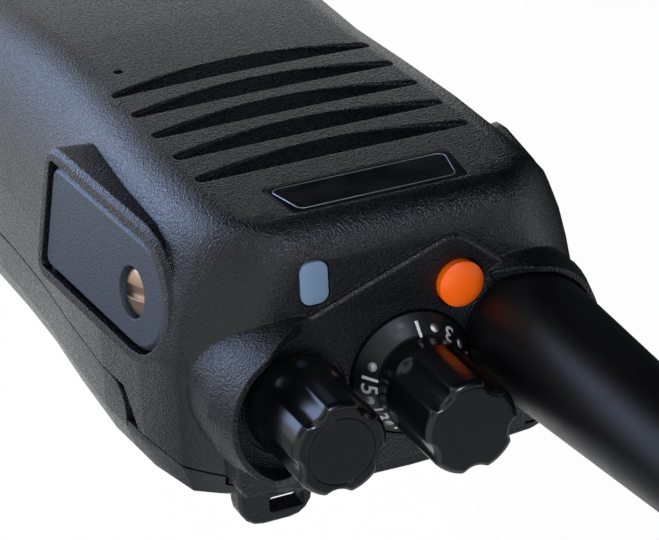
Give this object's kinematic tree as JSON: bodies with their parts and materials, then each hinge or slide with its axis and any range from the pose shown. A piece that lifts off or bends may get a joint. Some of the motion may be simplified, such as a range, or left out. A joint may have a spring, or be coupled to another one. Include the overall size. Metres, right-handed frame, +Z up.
{
  "type": "walkie-talkie",
  "caption": "Hand-held two-way radio with stub antenna, fluted volume and channel knobs, slotted speaker grille, side talk bar, hinged accessory cover and belt clip.",
  "frame": {"origin": "on the base, below the channel knob's axis; the radio stands upright on its base", "axes": "+Z up along the radio to the antenna, -Y out of the speaker face, +X towards the accessory cover"},
  "size_m": [0.0592, 0.0476, 0.2333],
  "materials": {
    "housing_plastic": "fine leather-grained black polycarbonate",
    "knob_plastic": "smooth satin black",
    "soft_rubber": "matt black elastomer",
    "orange_plastic": "satin orange",
    "window_plastic": "frosted light guide, unlit",
    "painted_casting": "black powder-coated die casting",
    "steel": "plain zinc-plated steel",
    "nickel": "nickel plated",
    "brass": "turned brass",
    "board_laminate": "green solder mask",
    "gold_contact": "gold-plated spring contact",
    "cone_paper": "black pressed paper and felt"
  },
  "bodies": {
    "radio": {"front_housing": "housing_plastic", "nameplate": "knob_plastic", "led_window": "window_plastic", "chassis": "painted_casting", "volume_control": "steel", "channel_switch": "steel", "volume_nut": "nickel", "channel_nut": "nickel", "dial_ring": "knob_plastic", "top_switch": "knob_plastic", "control_board": "board_laminate", "antenna": "soft_rubber", "antenna_stud": "brass", "antenna_socket": "brass", "antenna_seal": "soft_rubber", "speaker_basket": "steel", "speaker_cone": "cone_paper", "speaker_felt": "cone_paper", "microphone": "nickel", "main_board": "board_laminate", "shield_can_lower": "nickel", "shield_can_upper": "nickel", "key_frame": "soft_rubber", "ptt_button_switch": "nickel", "side_key_upper_switch": "nickel", "side_key_lower_switch": "nickel", "side_switch_board": "board_laminate", "screw_insert": "brass", "microphone_jack": "knob_plastic", "earphone_jack": "knob_plastic", "frame_contacts": "gold_contact", "case_screw_1": "steel", "case_screw_2": "steel", "case_screw_3": "steel", "case_screw_4": "steel"},
    "volume_knob": {"volume_knob": "knob_plastic", "volume_shaft": "steel"},
    "channel_knob": {"channel_knob": "knob_plastic", "channel_shaft": "steel"},
    "top_button": {"top_button": "orange_plastic"},
    "ptt_button": {"ptt_button": "soft_rubber"},
    "side_key_upper": {"side_key_upper": "soft_rubber"},
    "side_key_lower": {"side_key_lower": "soft_rubber"},
    "accessory_cover": {"accessory_cover": "soft_rubber"},
    "coin_screw": {"coin_screw": "nickel"},
    "battery": {"battery_pack": "housing_plastic", "pack_contacts": "gold_contact", "charging_contact_left": "nickel", "charging_contact_right": "nickel", "clip_bracket": "housing_plastic", "clip_pin": "steel", "clip_screw_lower": "steel", "clip_screw_upper": "steel"},
    "battery_latch": {"battery_latch": "knob_plastic"},
    "belt_clip": {"belt_clip": "housing_plastic", "clip_spring": "steel"}
  },
  "joints": [
    {"name": "volume_turn", "type": "hinge", "parent": "radio", "child": "volume_knob", "pos_m": [0.0149, 0.0012, 0.125], "axis": [0, 0, -1], "range_deg": [0, 270]},
    {"name": "channel_turn", "type": "hinge", "parent": "radio", "child": "channel_knob", "pos_m": [0.0001, 0.0012, 0.125], "axis": [0, 0, -1], "range_deg": [0, 293]},
    {"name": "top_button_press", "type": "slide", "parent": "radio", "child": "top_button", "axis": [0, 0, -1], "range_m": [0, 0.0007], "stiffness_N_per_m": 1200, "springref_m": -0.0006},
    {"name": "ptt_press", "type": "slide", "parent": "radio", "child": "ptt_button", "axis": [1, 0, 0], "range_m": [0, 0.0012], "stiffness_N_per_m": 900, "springref_m": -0.001},
    {"name": "side_key_upper_press", "type": "slide", "parent": "radio", "child": "side_key_upper", "axis": [1, 0, 0], "range_m": [0, 0.0006], "stiffness_N_per_m": 1200, "springref_m": -0.0006},
    {"name": "side_key_lower_press", "type": "slide", "parent": "radio", "child": "side_key_lower", "axis": [1, 0, 0], "range_m": [0, 0.0006], "stiffness_N_per_m": 1200, "springref_m": -0.0006},
    {"name": "cover_hinge", "type": "hinge", "parent": "radio", "child": "accessory_cover", "pos_m": [0.02743, -0.00824, 0.08306], "axis": [0.1463, 0.9879, -0.0523], "range_deg": [0, 95]},
    {"name": "coin_screw_turn", "type": "hinge", "parent": "accessory_cover", "child": "coin_screw", "pos_m": [0.02597, -0.00644, 0.10445], "axis": [0.9829, -0.1392, 0.1207], "continuous": true},
    {"name": "battery_pull", "type": "slide", "parent": "radio", "child": "battery", "axis": [0, 1, 0], "range_m": [0, 0.012]},
    {"name": "latch_slide", "type": "slide", "parent": "battery", "child": "battery_latch", "axis": [0, 1, 0], "range_m": [0, 0.0018], "stiffness_N_per_m": 500, "springref_m": -0.001},
    {"name": "clip_open", "type": "hinge", "parent": "battery", "child": "belt_clip", "pos_m": [0, 0.0207, 0.086], "axis": [1, 0, 0], "range_deg": [0, 20], "stiffness_Nm_per_rad": 0.2, "springref_deg": -14.32}
  ]
}
